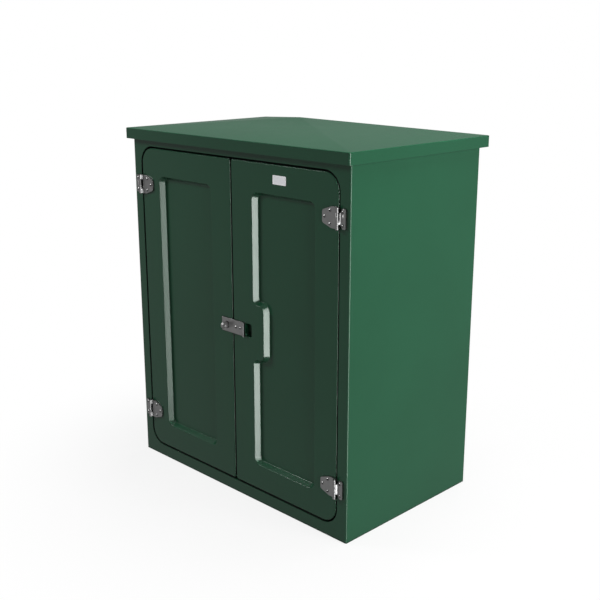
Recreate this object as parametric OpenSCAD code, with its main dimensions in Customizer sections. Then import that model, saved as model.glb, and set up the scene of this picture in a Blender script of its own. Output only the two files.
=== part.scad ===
// Roadside utility cabinet: a moulded glass-fibre kiosk with a pair of hinged doors and a hipped roof.
// Millimetres. The origin is the centre of the base: +X right, +Y back, +Z up, and the doors face -Y.

/* [Body] */
// Width of the body moulding
body_w = 1000; // [860:10:1400]
// Depth of the body moulding
body_d = 600; // [450:10:900]
// Height of the body moulding, to the top of its roof flange
body_h = 1156; // [1000:2:1600]
// Wall thickness of the body moulding
body_wall = 6; // [4:0.5:8]
// Radius of the upright corners
body_corner_r = 5; // [4:0.5:20]
// Width of the flange that turns in under the walls
base_flange_w = 70; // [50:1:110]
// Thickness of the base flange
base_flange_t = 8; // [5:0.5:14]
// Diameter of the anchor holes in the base flange
anchor_d = 14; // [9:0.5:18]
// Distance of the anchor holes from the outside of the body
anchor_inset = 35; // [22:1:45]
// Width of the flange that turns in under the roof
roof_flange_w = 50; // [40:1:80]

/* [Door opening] */
// Width of the frame face beside the doors
frame_side = 38.5; // [37:0.5:80]
// Height of the frame from the top of the opening to the roof flange
frame_head = 35.4; // [34:0.2:90]
// Height of the sill under the opening
sill_h = 39.4; // [38:0.2:90]
// Corner radius of the opening
opening_r = 60; // [30:1:80]
// Gap round each door
door_gap = 6; // [4:0.5:8]
// Room left for the seal between the doors and the stop
seal_room = 6; // [3:0.5:12]
// Width of the stop that the seal sits on
stop_w = 18; // [14:1:30]
// Width of the seal
seal_w = 12; // [8:0.5:14]

/* [Roof] */
// Overhang of the roof in front of the body
roof_over_front = 22; // [12:1:60]
// Overhang of the roof at each side
roof_over_side = 14; // [12:1:60]
// Overhang of the roof behind the body
roof_over_back = 30; // [12:1:60]
// Height of the roof's upright skirt
roof_skirt = 35.5; // [32:0.5:70]
// Overlap of the skirt over the top of the body
roof_lap = 14; // [6:0.5:15]
// Rise of the roof from the eaves to the apex
roof_rise = 45; // [25:1:140]
// Wall thickness of the roof moulding
roof_wall = 6; // [4:0.5:8]
// Radius of the roof's upright corners
roof_corner_r = 7; // [4:0.5:25]
// Radius of the rounded eaves
eave_r = 2.5; // [1.5:0.5:4]
// Diameter of the roof bolts
roof_bolt_d = 8; // [6:1:10]

/* [Doors] */
// Thickness of the doors
door_t = 40; // [34:1:60]
// Wall thickness of the door mouldings
door_skin = 5; // [4:0.5:7]
// Radius of the doors' front edges
door_edge_r = 4; // [1:0.5:5]
// Width of the door face beside the hinges
rail_hinge = 89.5; // [78:0.5:120]
// Width of the door face beside the meeting edge
rail_meet = 91.5; // [80:0.5:120]
// Height of the door face above the recess
rail_top = 89; // [60:1:140]
// Height of the door face below the recess
rail_foot = 83; // [60:1:140]
// Depth of the recess
recess_d = 18.5; // [12:0.5:22]
// Slope of the recess walls in degrees
recess_draft = 29; // [10:0.5:32]
// Corner radius of the recess
recess_r = 26; // [20:1:40]
// Radius of the recess rim
recess_rim_r = 2; // [1:0.25:3]
// Radius between the recess walls and floor
recess_floor_r = 3; // [1.5:0.25:4]
// Height of the step that goes round the finger pocket
step_h = 176; // [130:2:260]
// Depth of that step into the recess
step_in = 47; // [42:1:80]
// Corner radius of the step
step_r = 20; // [12:1:21]

/* [Hinges] */
// Distance of each hinge from the end of its door
hinge_inset = 124.6; // [100:0.2:220]
// Thickness of the hinge leaves
leaf_t = 5; // [3.5:0.5:6]
// Height of the door leaf
leaf_h = 62; // [58:1:90]
// Length of the door leaf, from the hinge axis
door_leaf_l = 62; // [56:1:70]
// Width of the door leaf's outer end
door_leaf_end = 36; // [28:1:44]
// Length of the frame leaf, from the hinge axis
frame_leaf_l = 27; // [26:0.5:32]
// Radius of the hinge barrel
barrel_r = 5; // [4.5:0.25:6]
// Height of the barrel's middle knuckle, on the frame leaf
knuckle_h = 32; // [24:1:34]
// Diameter of the hinge pin
pin_d = 5.5; // [4:0.25:6.5]

/* [Fasteners] */
// Diameter of the bolts
bolt_d = 5; // [4:0.5:6]
// Head diameter of the bolts
bolt_head_d = 9.6; // [9:0.2:11]
// Height of the domed heads
dome_h = 2.8; // [2:0.1:3.2]
// Height of the nuts
nut_h = 4.5; // [3:0.25:6]

/* [Hasp] */
// Height of the hasp plate
hasp_h = 45; // [42:1:70]
// Thickness of the hasp plate
hasp_t = 4; // [3:0.5:6]
// Reach of the hasp plate over the left door, from the meeting line
hasp_left = 50; // [44:1:70]
// Reach of the hasp plate over the right door, from the meeting line
hasp_right = 60; // [56:1:66]
// Height of the finger lip above the hasp plate
lip_h = 6.5; // [4:0.5:14]
// Distance of the padlock eye from the meeting line
eye_x = 24; // [23:0.5:30]
// Thickness of the padlock eye
eye_t = 8; // [5:0.5:9]
// Width of the padlock eye
eye_w = 20; // [18:0.5:22]
// Height of the padlock eye above the door
eye_out = 28; // [25:0.5:40]
// Diameter of the padlock hole
eye_hole_d = 10; // [6:0.5:11]

/* [Finger pocket] */
// Width of the finger pocket
pocket_w = 36; // [32:1:37]
// Height of the finger pocket
pocket_h = 46; // [36:1:60]
// Depth of the finger pocket
pocket_d = 22; // [12:1:26]
// Corner radius of the finger pocket
pocket_r = 8; // [7:0.5:14]
// Slope of the finger pocket's walls in degrees
pocket_draft = 5; // [3:0.5:6]
// Distance of the finger pocket's centre from the meeting line
pocket_x = 71; // [70:0.5:72]

/* [Shoot bolts] */
// Diameter of the shoot bolts
shoot_d = 12; // [8:0.5:14]
// Travel of the shoot bolts
shoot_travel = 28; // [18:1:28]
// Distance of the shoot bolts from the meeting line
shoot_x = 44; // [40:1:52]
// Length of the shoot bolts
shoot_l = 110; // [105:1:150]

/* [Fittings] */
// Width of the bare label plate
label_w = 55; // [30:1:90]
// Height of the bare label plate
label_h = 27; // [15:1:40]
// Thickness of the bare label plate
label_t = 1.5; // [1:0.25:3]
// Distance of the label plate from the meeting line
label_x = 218.5; // [140:0.5:300]
// Width of the plywood backboard
board_w = 860; // [400:10:900]
// Height of the plywood backboard
board_h = 920; // [500:10:960]
// Thickness of the plywood backboard
board_t = 12; // [9:1:25]
// Depth of the battens behind the backboard
batten_t = 25; // [15:1:50]
// Height of each batten
batten_h = 45; // [30:1:80]
// Reach of the meeting strip behind the right door
strip_reach = 16; // [8:1:30]
// Thickness of the meeting strip
strip_t = 3; // [2:0.25:4]
// Depth of the meeting strip's leg beside the door edge
strip_leg = 25; // [15:1:30]

/* [Hidden] */
$fn = 48;

// Colours of the finishes
green = [0.13, 0.27, 0.19];
steel = [0.62, 0.63, 0.64];
black = [0.05, 0.05, 0.05];
timber = [0.72, 0.55, 0.35];
white = [0.88, 0.88, 0.88];

// Clearances: pieces that touch, running fits, bolts in their holes, and cuts run past a face
touch = 0.3;
run = 0.05;
fit = 0.2;
past = 1;

// Smallest radius of a rounded corner
least_r = 1;

// Places shared by the pieces: the front face, the opening, and the doors in it
front_y = -body_d / 2;
open_x = body_w / 2 - frame_side;
open_z0 = sill_h;
open_z1 = body_h - frame_head;
door_x0 = door_gap / 2;
door_x1 = open_x - door_gap;
door_z0 = open_z0 + door_gap;
door_z1 = open_z1 - door_gap;
door_mid_z = (door_z0 + door_z1) / 2;
door_hinge_r = opening_r - door_gap;
door_meet_r = door_edge_r + 2;
door_back_y = front_y + door_t;
stop_y = door_back_y + seal_room;
inner_corner_r = max(body_corner_r - body_wall, least_r);

// Roof levels and the half sizes of its plan
roof_z0 = body_h - roof_lap;
eave_z = roof_z0 + roof_skirt;
roof_x = body_w / 2 + roof_over_side;
roof_y0 = front_y - roof_over_front;
roof_y1 = body_d / 2 + roof_over_back;
roof_mid_y = (roof_y0 + roof_y1) / 2;
roof_r = roof_bolt_d / 2;
boss_r = roof_r + 9;
roof_bolt_in = body_wall + (roof_flange_w - body_wall) / 2;

// Hinge axis, in front of the gap, and the leaf that stands beside it
hinge_x = open_x - door_gap / 2;
hinge_off = leaf_t + 5;
hinge_y = front_y - hinge_off;
hinge_z = [door_z0 + hinge_inset, door_z1 - hinge_inset];
leaf_in = barrel_r + 3;
knuckle_gap = 0.4;
frame_leaf_z = leaf_h / 2 - 2;
leaf_flare = 7;
leaf_taper = 36;
leaf_r = 3;
leaf_end_r = 8;
leaf_shoulder_r = 20;
pin_r = pin_d / 2;
pin_head_t = 2.2;

// Countersunk bolts and their nuts
bolt_r = bolt_d / 2;
head_r = bolt_head_d / 2;
head_h = head_r - bolt_r;
dome_r = (head_r * head_r + dome_h * dome_h) / (2 * dome_h);
socket_r = bolt_r * 0.7;
socket_d = head_h * 0.8;
nut_flange_r = bolt_r + 3.5;
nut_flange_t = 1.2;
nut_r = bolt_r * 1.8;
thread_out = 2;
hole_edge = 9.5;
hole_pitch = 20.5;
hole_rise = 19.5;
end_hole_x = hole_edge - door_leaf_l;
inner_hole_x = end_hole_x + hole_pitch;
door_leaf_holes = [[end_hole_x, 0], [inner_hole_x, hole_rise], [inner_hole_x, -hole_rise]];
frame_leaf_holes = [[frame_leaf_l - hole_edge, hole_rise], [frame_leaf_l - hole_edge, -hole_rise]];
hasp_hole_x = 18;
hasp_holes = [hasp_hole_x, hasp_hole_x + hole_pitch];
eye_hole_rise = 15.8;
eye_holes = [-eye_hole_rise, eye_hole_rise];

// Rounding of the finger pocket
pocket_rim_r = 1.5;
pocket_floor_r = 3;

// Shoot bolt guides: two saddles on a plate bonded to the door skin
shoot_r = shoot_d / 2;
shoot_y = front_y + door_t / 2 + 2;
shoot_end = 2;
saddle_h = 14;
saddle_w = shoot_d + 12;
guide_plate_t = 3;
knob_r = 5;
knob_h = 2 * knob_r;
guide_gap = knob_h + shoot_travel + 2 * touch;
guide_drop = 24;
knob_out = 12;
keep_wall = 2;
keep_flange_t = 1.5;

// Padlock eye back plate and the slot that its tab comes through
eye_plate_t = 4;
eye_plate_w = 20;
eye_plate_h = 48;
eye_slot_gap = 1;

// Backboard place and its screws
board_z0 = (body_h - board_h) / 2;
board_y = body_d / 2 - body_wall - batten_t - board_t;
batten_in = 110;
screw_in = 60;
batten_z = [board_z0 + batten_in, board_z0 + board_h - batten_in];
board_screw_x = [screw_in - board_w / 2, 0, board_w / 2 - screw_in];
screw_l = board_t + batten_t * 0.8;

// Corner of a path: an arc of radius r at p, between the sides that come from a and go to b
function unit(v) = v / norm(v);
function corner(a, p, b, r, n) =
    let (u = unit(a - p), v = unit(b - p), half = acos(u * v) / 2, turn = 180 - 2 * half,
         c = p + unit(u + v) * r / sin(half), s = p + u * r / tan(half) - c, e = p + v * r / tan(half) - c)
    [for (i = [0:n]) c + (s * sin(turn * (1 - i / n)) + e * sin(turn * i / n)) / sin(turn)];

// Closed path through corners, each given as [point, radius, steps]
function rounded(cs) =
    let (m = len(cs))
    [for (i = [0:m - 1])
        each corner(cs[(i + m - 1) % m][0], cs[i][0], cs[(i + 1) % m][0], cs[i][1], cs[i][2])];

// Path in the XZ plane set at a depth y behind the front face, or in the XY plane at a height
function at_depth(path, y) = [for (p = path) [p[0], front_y + y, p[1]]];
function at_height(path, z) = [for (p = path) [p[0], p[1], z]];

// Outline of the right door, drawn in by d
function door_path(d) = rounded([
    [[door_x0 + d, door_z0 + d], door_meet_r - d, 3], [[door_x1 - d, door_z0 + d], door_hinge_r - d, 10],
    [[door_x1 - d, door_z1 - d], door_hinge_r - d, 10], [[door_x0 + d, door_z1 - d], door_meet_r - d, 3]]);

// Outline of the door's recess, drawn in by d, plain or stepped round the finger pocket
function recess_path(d, stepped) =
    let (x0 = door_x0 + rail_meet + d, x1 = door_x1 - rail_hinge - d, z0 = door_z0 + rail_foot + d,
         z1 = door_z1 - rail_top - d, xs = x0 + step_in, s0 = door_mid_z - step_h / 2 - d,
         s1 = door_mid_z + step_h / 2 + d,
         r = max(recess_r - d, least_r), inner = max(step_r - d, least_r))
    rounded([for (c = concat(
        [[[x0, z0], r], [[x1, z0], r], [[x1, z1], r], [[x0, z1], r]],
        stepped ? [[[x0, s1], inner], [[xs, s1], step_r + d],
                   [[xs, s0], step_r + d], [[x0, s0], inner]] : [])) [c[0], c[1], recess_steps]]);

// Flat ends of the stepped outline: a fan from each end of the far side, and two triangles between them
recess_steps = 8;
far_side = 2 * (recess_steps + 1);
step_side = 6 * (recess_steps + 1);
ring_end = 8 * (recess_steps + 1);
step_caps = concat(
    [for (i = [far_side + 1:step_side - 2]) [far_side, i, i + 1]],
    [[step_side - 1, step_side, far_side - 1], [step_side - 1, far_side - 1, far_side]],
    [for (i = [step_side:ring_end + far_side - 3]) [far_side - 1, i % ring_end, (i + 1) % ring_end]]);

// Outline of the finger pocket, drawn in by d
function pocket_path(d) =
    let (x = pocket_w / 2 - d, z = pocket_h / 2 - d, r = max(pocket_r - d, least_r),
         c = [pocket_x, door_mid_z])
    rounded([[c + [-x, -z], r, 5], [c + [x, -z], r, 5], [c + [x, z], r, 5], [c + [-x, z], r, 5]]);

// Section of a moulded recess as [draw-in, depth]: rounded floor, sloping wall, rounded rim
function section(depth, draft, rim, floor_r) =
    let (turn = 90 - draft, run_in = (rim + floor_r) * sin(turn)
             + (depth - (rim + floor_r) * (1 - cos(turn))) * tan(draft))
    concat([for (i = [0:3]) let (t = turn * i / 3)
               [run_in - floor_r * sin(t), depth - floor_r * (1 - cos(t))]],
           [for (i = [3:-1:0]) let (t = turn * i / 3) [rim * sin(t), rim * (1 - cos(t))]], [[0, -past]]);

// Draw-in, at depth y, of the hidden side of a recess wall
function wall_back(y, draft, rim) =
    let (turn = 90 - draft)
    rim * sin(turn) + (y - rim * (1 - cos(turn))) * tan(draft) - door_skin / cos(draft);

// Plan of the roof, drawn in by d
function roof_path(d) =
    let (r = max(roof_corner_r - d, least_r))
    rounded([[[-roof_x + d, roof_y0 + d], r, 5], [[roof_x - d, roof_y0 + d], r, 5],
             [[roof_x - d, roof_y1 - d], r, 5], [[-roof_x + d, roof_y1 - d], r, 5]]);

// Underside of the roof above a point of its plan
function roof_under(x, y) =
    let (across = abs(x) / roof_x, along = abs(y - roof_mid_y) / (roof_y1 - roof_mid_y))
    eave_z - roof_wall + roof_rise * (1 - max(across, along));

// Solid through rings of points, closed at a tip or flat, with each flat end in the faces that caps gives
module loft(rings, tip = undef, caps = undef) {
    n = len(rings[0]);
    last = len(rings) - 1;
    sides = [for (k = [0:last - 1], i = [0:n - 1]) let (j = (i + 1) % n)
        each [[k * n + i, (k + 1) * n + j, k * n + j], [k * n + i, (k + 1) * n + i, (k + 1) * n + j]]];
    bottom = is_undef(caps) ? [[for (i = [0:n - 1]) i]] : caps;
    top = is_undef(tip) ? [for (c = bottom) [for (i = [len(c) - 1:-1:0]) last * n + c[i]]]
        : [for (i = [0:n - 1]) [last * n + i, (last + 1) * n, last * n + (i + 1) % n]];
    points = concat([for (r = rings) each r], is_undef(tip) ? [] : [tip]);
    polyhedron(points, concat(bottom, sides, top));
}

// Rounded rectangle between two corners, and a flat shape made solid from one depth to another
module round_rect(x0, y0, x1, y1, r) {
    translate([x0 + r, y0]) square([x1 - x0 - 2 * r, y1 - y0]);
    translate([x0, y0 + r]) square([x1 - x0, y1 - y0 - 2 * r]);
    for (x = [x0 + r, x1 - r], y = [y0 + r, y1 - r]) translate([x, y]) circle(r);
}
module extrude_y(y0, y1) translate([0, y1, 0]) rotate([90, 0, 0]) linear_extrude(y1 - y0) children();
module plan(d, z0, z1, r) translate([0, 0, z0]) linear_extrude(z1 - z0)
    round_rect(-body_w / 2 + d, front_y + d, body_w / 2 - d, -front_y - d, r);
module opening(d) round_rect(-open_x + d, open_z0 + d, open_x - d, open_z1 - d, opening_r - d);

// Places that repeat
module at_anchors() for (x = [-1, 1], y = [-1, 1])
    translate([x * (body_w / 2 - anchor_inset), y * (body_d / 2 - anchor_inset), 0]) children();
module at_roof_bolts() for (x = [-1, 0, 1], y = [-1, 1])
    translate([x * (body_w / 2 - roof_bolt_in), y * (body_d / 2 - roof_bolt_in), 0]) children();
module at_hinge(side, z) translate([side * hinge_x, hinge_y, z]) mirror([side < 0 ? 1 : 0, 0, 0]) children();
module at_holes(holes, y) for (p = holes) translate([p[0], y, p[1]]) rotate([-90, 0, 0]) children();
module at_leaf_holes(sides, holes, y) for (side = sides, z = hinge_z)
    at_hinge(side, z) at_holes(holes, y) children();
module at_hasp_holes(y) at_holes([for (x = hasp_holes) [x, door_mid_z]], y) children();
module at_eye_holes(y) at_holes([for (z = eye_holes) [-eye_x, door_mid_z + z]], y) children();
module at_board_screws(y) at_holes([for (x = board_screw_x, z = batten_z) [x, z]], y) children();

// Bolts with a hexagon socket, pointing along +Z from the face that their head is sunk in or stands on
module bolt(grip) difference() {
    union() {
        cylinder(h = head_h, r1 = head_r, r2 = bolt_r);
        cylinder(h = grip + nut_h + thread_out, r = bolt_r);
    }
    translate([0, 0, -past]) cylinder(h = socket_d + past, r = socket_r, $fn = 6);
}
module dome_bolt(grip) difference() {
    union() {
        intersection() {
            translate([0, 0, dome_r - dome_h]) sphere(dome_r);
            translate([0, 0, -dome_h]) cylinder(h = dome_h, r = head_r);
        }
        cylinder(h = grip + nut_h + thread_out, r = bolt_r);
    }
    translate([0, 0, -dome_h - past]) cylinder(h = socket_d + past, r = socket_r, $fn = 6);
}

// Countersunk hole, plain hole and flanged nut for those bolts
module sunk_hole(length) {
    cylinder(h = head_h, r1 = head_r + fit, r2 = bolt_r + fit);
    bolt_hole(length);
}
module bolt_hole(length) translate([0, 0, -past]) cylinder(h = length + 2 * past, r = bolt_r + fit);
module nut() difference() {
    union() {
        cylinder(h = nut_flange_t, r = nut_flange_r);
        cylinder(h = nut_h, r = nut_r, $fn = 6);
    }
    translate([0, 0, -past]) cylinder(h = nut_h + 2 * past, r = bolt_r + run);
}

// Body moulding: walls, base and roof flanges, and the framed opening with its rebate and stop
module body_shell() color(green) difference() {
    union() {
        difference() {
            plan(0, 0, body_h, body_corner_r);
            plan(body_wall, base_flange_t, body_h - body_wall, inner_corner_r);
            plan(base_flange_w, -past, base_flange_t + past, opening_r);
            plan(roof_flange_w, body_h - body_wall - past, body_h + past, opening_r);
        }
        extrude_y(front_y, stop_y + body_wall) opening(-body_wall);
    }
    extrude_y(front_y - past, stop_y) opening(0);
    extrude_y(front_y, stop_y + body_wall + past) opening(stop_w);
    at_anchors() translate([0, 0, -past]) cylinder(h = base_flange_t + 2 * past, d = anchor_d);
    at_roof_bolts() translate([0, 0, body_h - body_wall - past])
        cylinder(h = body_wall + 2 * past, r = roof_r + fit);
    at_leaf_holes([-1, 1], frame_leaf_holes, hinge_off) bolt_hole(body_wall);
    for (z = [open_z0 - body_wall, open_z1]) translate([-shoot_x, shoot_y, z - past])
        cylinder(h = body_wall + 2 * past, r = shoot_r + keep_wall + 2 * fit);
}

// Roof moulding: a hipped cap with an upright skirt, standing on bosses over the body's roof flange
module roof() color(green) difference() {
    union() {
        difference() {
            loft(concat([at_height(roof_path(0), roof_z0)],
                        [for (i = [0:3]) let (t = 28 * i)
                            at_height(roof_path(eave_r * (1 - cos(t))), eave_z - eave_r * (1 - sin(t)))]),
                 [0, roof_mid_y, eave_z + roof_rise]);
            loft([at_height(roof_path(roof_wall), roof_z0 - past),
                  at_height(roof_path(roof_wall), eave_z - roof_wall)],
                 [0, roof_mid_y, eave_z + roof_rise - roof_wall]);
        }
        for (x = [-1, 0, 1], y = [-1, 1])
            let (bx = x * (body_w / 2 - roof_bolt_in), by = y * (body_d / 2 - roof_bolt_in))
            translate([bx, by, body_h])
                cylinder(h = roof_under(bx, by) + roof_wall / 2 - body_h, r = boss_r);
    }
    at_roof_bolts() translate([0, 0, body_h - past])
        cylinder(h = eave_z - roof_wall - body_h + past, r = roof_r + run);
}
module roof_bolts() color(steel) at_roof_bolts() {
    translate([0, 0, body_h - body_wall - roof_bolt_d * 0.7])
        cylinder(h = roof_bolt_d * 0.7, r = roof_bolt_d * 0.9, $fn = 6);
    translate([0, 0, body_h - body_wall])
        cylinder(h = eave_z - roof_wall - body_h + body_wall - past, r = roof_r);
}

// Rubber seal on the stop, all round the opening
module door_seal() color(black) difference() {
    extrude_y(door_back_y + touch, stop_y) opening(stop_w - seal_w);
    extrude_y(door_back_y + touch - past, stop_y + past) opening(stop_w);
}

// Flanged bush that a shoot bolt enters, in the head or the sill of the opening
module keep(z, up) translate([-shoot_x, shoot_y, z]) mirror([0, 0, up ? 0 : 1]) difference() {
    union() {
        cylinder(h = body_wall, r = shoot_r + fit + keep_wall);
        translate([0, 0, -keep_flange_t]) cylinder(h = keep_flange_t, r = shoot_r + 3 * keep_wall);
    }
    translate([0, 0, -keep_flange_t - past])
        cylinder(h = body_wall + keep_flange_t + 2 * past, r = shoot_r + fit);
}
module top_keep() color(steel) keep(open_z1, true);
module bottom_keep() color(steel) keep(open_z0, false);

// Plywood backboard, held off the back wall by battens
module backboard() color(timber) difference() {
    translate([-board_w / 2, board_y, board_z0]) cube([board_w, board_t, board_h]);
    at_board_screws(board_y) sunk_hole(board_t);
}
module backboard_battens() color(timber) difference() {
    for (z = batten_z) translate([-board_w / 2, board_y + board_t, z - batten_h / 2])
        cube([board_w, batten_t, batten_h]);
    at_board_screws(board_y + board_t - past) cylinder(h = screw_l - board_t + 2 * past, r = bolt_r + run);
}
module backboard_screws() color(steel) at_board_screws(board_y) {
    cylinder(h = head_h, r1 = head_r, r2 = bolt_r);
    translate([0, 0, head_h]) cylinder(h = screw_l - head_h, r = bolt_r);
}

// Hinge parts, about the hinge axis with the frame at +X and the door at -X
module knuckle(z0, z1, side) translate([0, 0, z0]) {
    cylinder(h = z1 - z0, r = barrel_r);
    linear_extrude(z1 - z0) polygon([[0, 0], [side * barrel_r, 0], [side * leaf_in, hinge_off - leaf_t],
        [side * leaf_in, hinge_off], [side * door_gap, hinge_off], [0, barrel_r]]);
}
module frame_leaf() color(steel) difference() {
    union() {
        extrude_y(hinge_off - leaf_t, hinge_off) polygon(rounded([
            [[leaf_in, -knuckle_h / 2], least_r, 2], [[leaf_in + leaf_flare, -frame_leaf_z], leaf_r, 4],
            [[frame_leaf_l, -frame_leaf_z], leaf_r, 4], [[frame_leaf_l, frame_leaf_z], leaf_r, 4],
            [[leaf_in + leaf_flare, frame_leaf_z], leaf_r, 4], [[leaf_in, knuckle_h / 2], least_r, 2]]));
        knuckle(-knuckle_h / 2, knuckle_h / 2, 1);
    }
    cylinder(h = leaf_h, r = pin_r + run, center = true);
    at_holes(frame_leaf_holes, hinge_off - leaf_t) bolt_hole(leaf_t);
}
module door_leaf() color(steel) difference() {
    union() {
        extrude_y(hinge_off - leaf_t, hinge_off) polygon(rounded([
            [[-leaf_in, leaf_h / 2], least_r, 2],
            [[leaf_taper - door_leaf_l, leaf_h / 2], leaf_shoulder_r, 4],
            [[-door_leaf_l, door_leaf_end / 2], leaf_end_r, 5],
            [[-door_leaf_l, -door_leaf_end / 2], leaf_end_r, 5],
            [[leaf_taper - door_leaf_l, -leaf_h / 2], leaf_shoulder_r, 4],
            [[-leaf_in, -leaf_h / 2], least_r, 2]]));
        knuckle(knuckle_h / 2 + knuckle_gap, leaf_h / 2, -1);
        knuckle(-leaf_h / 2, -knuckle_h / 2 - knuckle_gap, -1);
    }
    cylinder(h = leaf_h + 2 * past, r = pin_r + run, center = true);
    at_holes(door_leaf_holes, hinge_off - leaf_t) bolt_hole(leaf_t);
}
module hinge_pin() color(steel) {
    cylinder(h = leaf_h + 2 * touch, r = pin_r, center = true);
    for (up = [0, 1]) mirror([0, 0, up]) translate([0, 0, leaf_h / 2 + touch])
        cylinder(h = pin_head_t, r1 = barrel_r - 0.5, r2 = barrel_r - 1.5);
}
module upper_left_frame_leaf() at_hinge(-1, hinge_z[1]) frame_leaf();
module lower_left_frame_leaf() at_hinge(-1, hinge_z[0]) frame_leaf();
module upper_right_frame_leaf() at_hinge(1, hinge_z[1]) frame_leaf();
module lower_right_frame_leaf() at_hinge(1, hinge_z[0]) frame_leaf();
module upper_left_hinge_pin() at_hinge(-1, hinge_z[1]) hinge_pin();
module lower_left_hinge_pin() at_hinge(-1, hinge_z[0]) hinge_pin();
module upper_right_hinge_pin() at_hinge(1, hinge_z[1]) hinge_pin();
module lower_right_hinge_pin() at_hinge(1, hinge_z[0]) hinge_pin();
module upper_left_door_leaf() at_hinge(-1, hinge_z[1]) door_leaf();
module lower_left_door_leaf() at_hinge(-1, hinge_z[0]) door_leaf();
module upper_right_door_leaf() at_hinge(1, hinge_z[1]) door_leaf();
module lower_right_door_leaf() at_hinge(1, hinge_z[0]) door_leaf();

// Bolts and nuts of the hinge leaves, through the frame and through the door skins
module frame_leaf_bolts() color(steel)
    at_leaf_holes([-1, 1], frame_leaf_holes, hinge_off - leaf_t) dome_bolt(leaf_t + body_wall);
module frame_leaf_nuts() color(steel)
    at_leaf_holes([-1, 1], frame_leaf_holes, hinge_off + body_wall) nut();
module left_leaf_bolts() color(steel)
    at_leaf_holes([-1], door_leaf_holes, hinge_off - leaf_t) dome_bolt(leaf_t + door_skin);
module left_leaf_nuts() color(steel) at_leaf_holes([-1], door_leaf_holes, hinge_off + door_skin) nut();
module right_leaf_bolts() color(steel)
    at_leaf_holes([1], door_leaf_holes, hinge_off - leaf_t) dome_bolt(leaf_t + door_skin);
module right_leaf_nuts() color(steel) at_leaf_holes([1], door_leaf_holes, hinge_off + door_skin) nut();

// Door moulding, at the right: a pan with turned-back edges and a sloping recess pressed into its face
module door_pan(stepped) difference() {
    loft(concat([at_depth(door_path(0), door_t)],
                [for (i = [0:3]) let (t = 30 * i)
                    at_depth(door_path(door_edge_r * (1 - cos(t))), door_edge_r * (1 - sin(t)))]));
    loft([for (s = section(recess_d, recess_draft, recess_rim_r, recess_floor_r))
            at_depth(recess_path(s[0], stepped), s[1])], caps = stepped ? step_caps : undef);
    difference() {
        loft([at_depth(door_path(door_skin), door_t + past), at_depth(door_path(door_skin), door_skin)]);
        loft([for (y = [recess_d + door_skin, door_skin - past])
            at_depth(recess_path(wall_back(y, recess_draft, recess_rim_r), stepped), y)],
             caps = stepped ? step_caps : undef);
        if (stepped) finger_pocket_back();
    }
}
module finger_pocket_back() loft([for (y = [pocket_d + door_skin, door_skin - past])
    at_depth(pocket_path(wall_back(y, pocket_draft, pocket_rim_r)), y)]);
module finger_pocket() loft([for (s = section(pocket_d, pocket_draft, pocket_rim_r, pocket_floor_r))
    at_depth(pocket_path(s[0]), s[1])]);

module left_door() color(green) difference() {
    mirror([1, 0, 0]) door_pan(false);
    at_leaf_holes([-1], door_leaf_holes, hinge_off) bolt_hole(door_skin);
    at_eye_holes(front_y) sunk_hole(door_skin);
    eye_slot(front_y - past, front_y + door_skin + past);
    for (z = [door_z0, door_z1 - door_skin]) translate([-shoot_x, shoot_y, z - past])
        cylinder(h = door_skin + 2 * past, r = shoot_r + 2 * fit);
}
module right_door() color(green) difference() {
    door_pan(true);
    finger_pocket();
    at_leaf_holes([1], door_leaf_holes, hinge_off) bolt_hole(door_skin);
    at_hasp_holes(front_y) bolt_hole(door_skin);
}

// Padlock eye: a tab with a hole, on a back plate behind the left door's skin
module eye_slot(y0, y1)
    translate([-eye_x - eye_t / 2 - eye_slot_gap, y0, door_mid_z - eye_w / 2 - eye_slot_gap])
        cube([eye_t + 2 * eye_slot_gap, y1 - y0, eye_w + 2 * eye_slot_gap]);
module padlock_eye() color(steel) difference() {
    union() {
        translate([-eye_x - eye_plate_w / 2, front_y + door_skin, door_mid_z - eye_plate_h / 2])
            cube([eye_plate_w, eye_plate_t, eye_plate_h]);
        translate([-eye_x + eye_t / 2, front_y, door_mid_z]) rotate([0, -90, 0]) linear_extrude(eye_t)
            polygon(rounded([[[-eye_w / 2, door_skin + past], 0.5, 2], [[-eye_w / 2, -eye_out + 6], 3, 3],
                [[-eye_w / 2 + 5, -eye_out], 3, 3], [[eye_w / 2 - 5, -eye_out], 3, 3],
                [[eye_w / 2, -eye_out + 6], 3, 3], [[eye_w / 2, door_skin + past], 0.5, 2]]));
    }
    translate([-eye_x, front_y - eye_out + 5 + eye_hole_d * 0.8, door_mid_z]) rotate([0, 90, 0])
        cylinder(h = eye_t + 2 * past, d = eye_hole_d, center = true);
    at_eye_holes(front_y + door_skin) bolt_hole(eye_plate_t);
}
module padlock_eye_bolts() color(steel) at_eye_holes(front_y) bolt(door_skin + eye_plate_t);
module padlock_eye_nuts() color(steel) at_eye_holes(front_y + door_skin + eye_plate_t) nut();

// Angle strip on the left door's meeting edge, closing the gap from behind
module meeting_strip() color(black) {
    leg_x = -door_x0 - door_skin - strip_t;
    z0 = open_z0 + stop_w + strip_t;
    z1 = open_z1 - stop_w - strip_t;
    translate([0, 0, z0]) linear_extrude(z1 - z0) polygon([
        [leg_x, door_back_y - strip_leg], [leg_x + strip_t, door_back_y - strip_leg],
        [leg_x + strip_t, door_back_y + touch],
        [strip_reach, door_back_y + touch], [strip_reach, door_back_y + touch + strip_t],
        [leg_x, door_back_y + touch + strip_t]]);
}

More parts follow.
